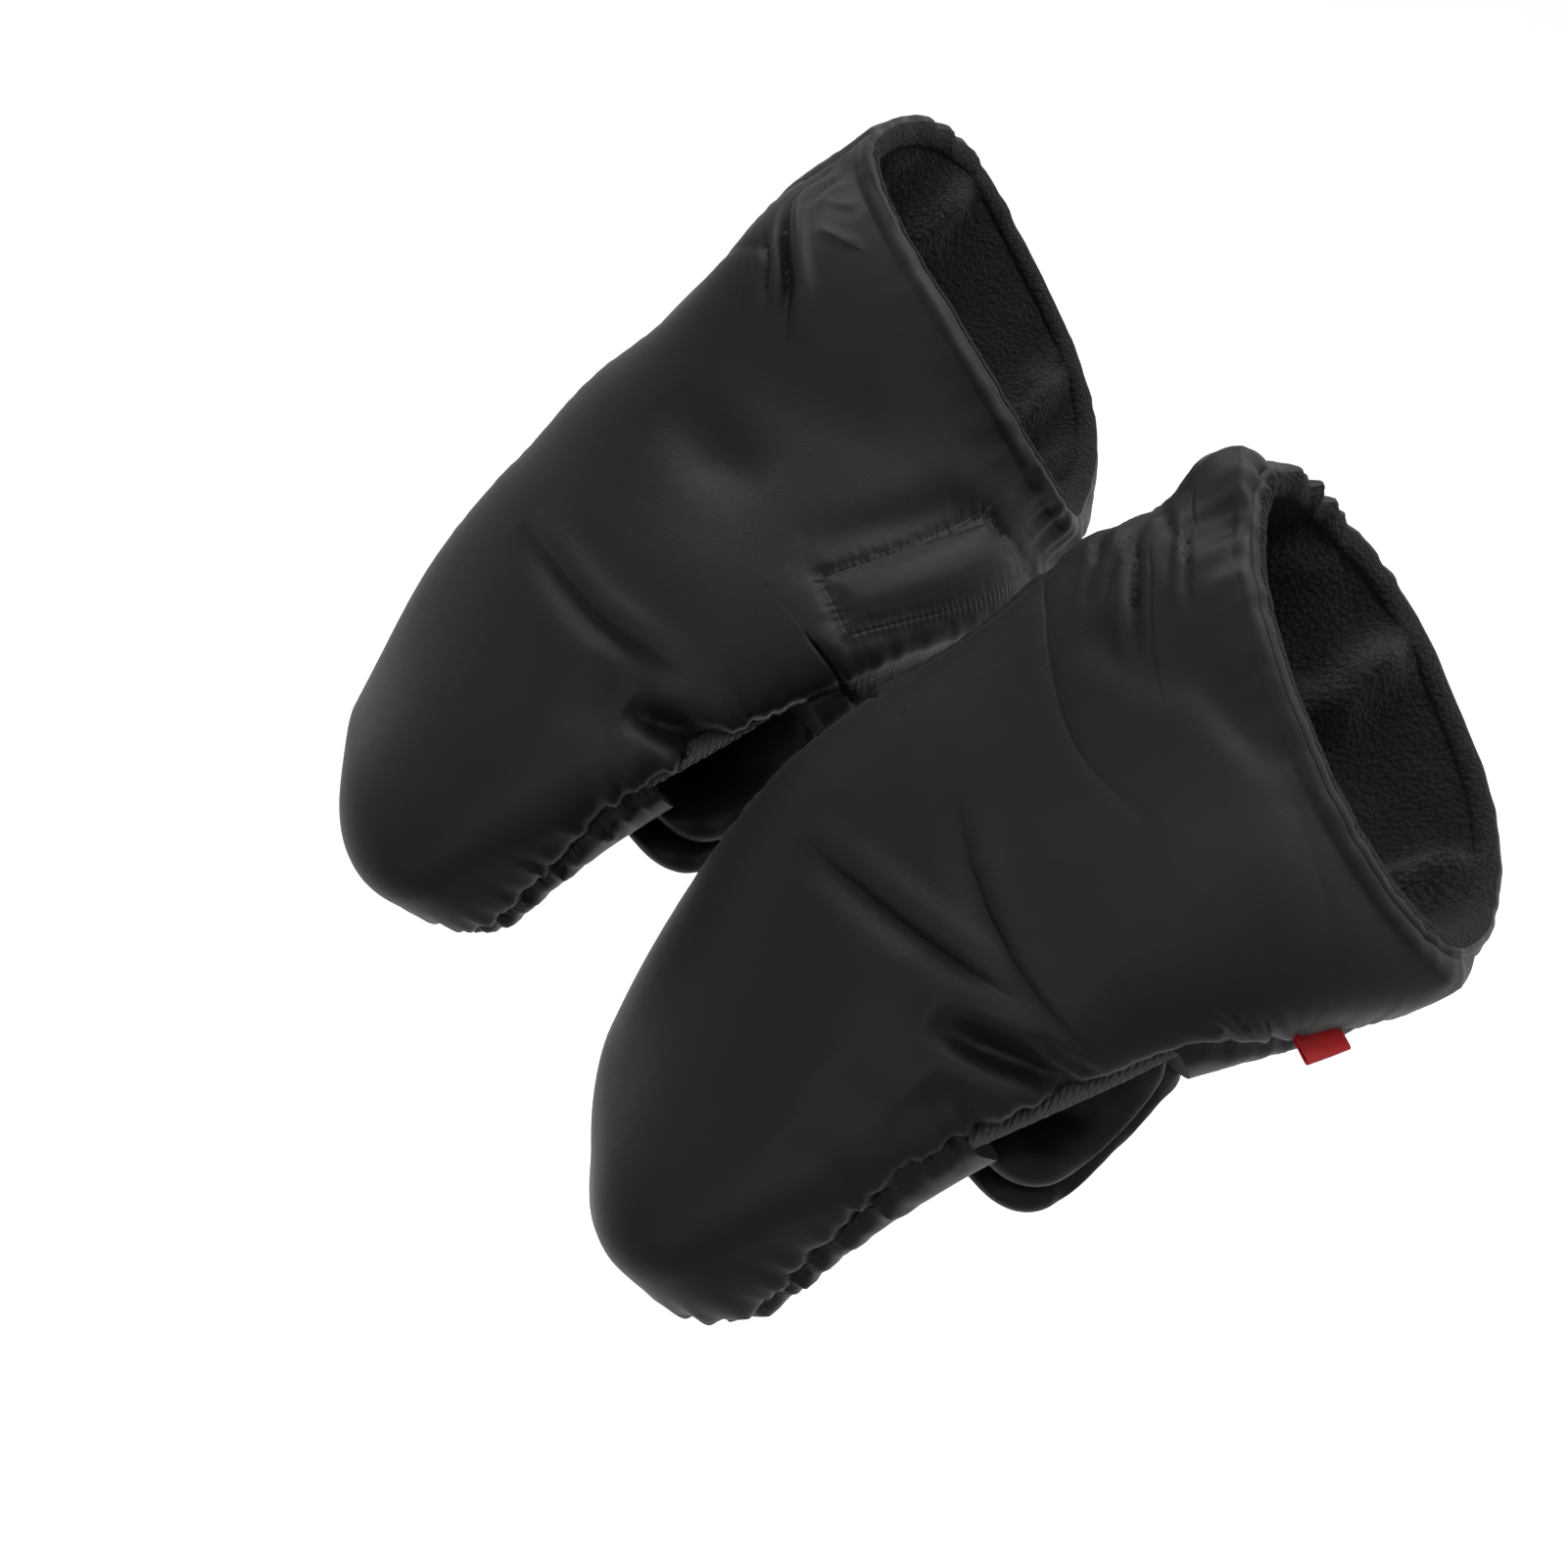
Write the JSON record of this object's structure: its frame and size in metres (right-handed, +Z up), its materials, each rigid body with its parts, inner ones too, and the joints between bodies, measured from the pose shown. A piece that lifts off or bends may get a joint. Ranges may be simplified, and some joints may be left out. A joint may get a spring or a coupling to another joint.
{
  "type": "stroller hand muff",
  "caption": "Padded, fleece-lined hand muffs that wrap a stroller's handlebar, with a mitten-shaped sack, raked open cuff and soft flaps under the bar.",
  "frame": {"origin": "on the handlebar's axis, midway between the two muffs", "axes": "+X along the handlebar, towards the right muff; +Y the way the fingers point, which is the stroller's forward; +Z up"},
  "size_m": [0.3022, 0.3084, 0.1858],
  "materials": {
    "shell_nylon": "matt satin woven nylon, quilted over wadding",
    "fleece": "knitted fleece pile",
    "wadding": "soft polyester wadding, hidden inside",
    "binding": "gathered elastic binding",
    "hook_and_loop": "hook and loop tape",
    "elastic": "woven elastic, hidden inside the cuff",
    "label_red": "plain woven red tab"
  },
  "bodies": {
    "muffs": {"back_panel_left": "shell_nylon", "back_panel_right": "shell_nylon", "back_wadding_left": "wadding", "back_wadding_right": "wadding", "closure_loop_strip_left": "hook_and_loop", "closure_loop_strip_right": "hook_and_loop", "cuff_band_left": "shell_nylon", "cuff_band_right": "shell_nylon", "cuff_elastic_left": "elastic", "cuff_elastic_right": "elastic", "cuff_hem_left": "shell_nylon", "cuff_hem_right": "shell_nylon", "finger_panel_left": "shell_nylon", "finger_panel_right": "shell_nylon", "finger_wadding_left": "wadding", "finger_wadding_right": "wadding", "fleece_lining_left": "fleece", "fleece_lining_right": "fleece", "grip_loop_strip_left": "hook_and_loop", "grip_loop_strip_right": "hook_and_loop", "inner_grip_binding_left": "binding", "inner_grip_binding_right": "binding", "label_tab_left": "label_red", "outer_grip_binding_left": "binding", "outer_grip_binding_right": "binding", "palm_panel_left": "shell_nylon", "palm_panel_right": "shell_nylon", "palm_wadding_left": "wadding", "palm_wadding_right": "wadding"},
    "grip_flap_left_body": {"grip_flap_left": "shell_nylon", "grip_hook_strip_left": "hook_and_loop", "grip_pad_left": "shell_nylon"},
    "closure_flap_left_body": {"closure_flap_left": "shell_nylon", "closure_hook_strip_left": "hook_and_loop"},
    "grip_flap_right_body": {"grip_flap_right": "shell_nylon", "grip_hook_strip_right": "hook_and_loop", "grip_pad_right": "shell_nylon"},
    "closure_flap_right_body": {"closure_flap_right": "shell_nylon", "closure_hook_strip_right": "hook_and_loop"}
  },
  "joints": [
    {"name": "grip_flap_hinge_left", "type": "hinge", "parent": "muffs", "child": "grip_flap_left_body", "pos_m": [-0.0725, 0.0231, -0.03838], "axis": [1, 0, 0], "range_deg": [0, 90]},
    {"name": "closure_hinge_left", "type": "hinge", "parent": "muffs", "child": "closure_flap_left_body", "pos_m": [-0.05251, -0.03975, 0.08378], "axis": [-0.3894, -0.8026, 0.4519], "range_deg": [0, 100]},
    {"name": "grip_flap_hinge_right", "type": "hinge", "parent": "muffs", "child": "grip_flap_right_body", "pos_m": [0.0725, 0.02981, -0.03344], "axis": [1, 0, 0], "range_deg": [0, 90]},
    {"name": "closure_hinge_right", "type": "hinge", "parent": "muffs", "child": "closure_flap_right_body", "pos_m": [0.01934, -0.05969, 0.05346], "axis": [0.0538, 0.9902, 0.129], "range_deg": [0, 20]}
  ]
}
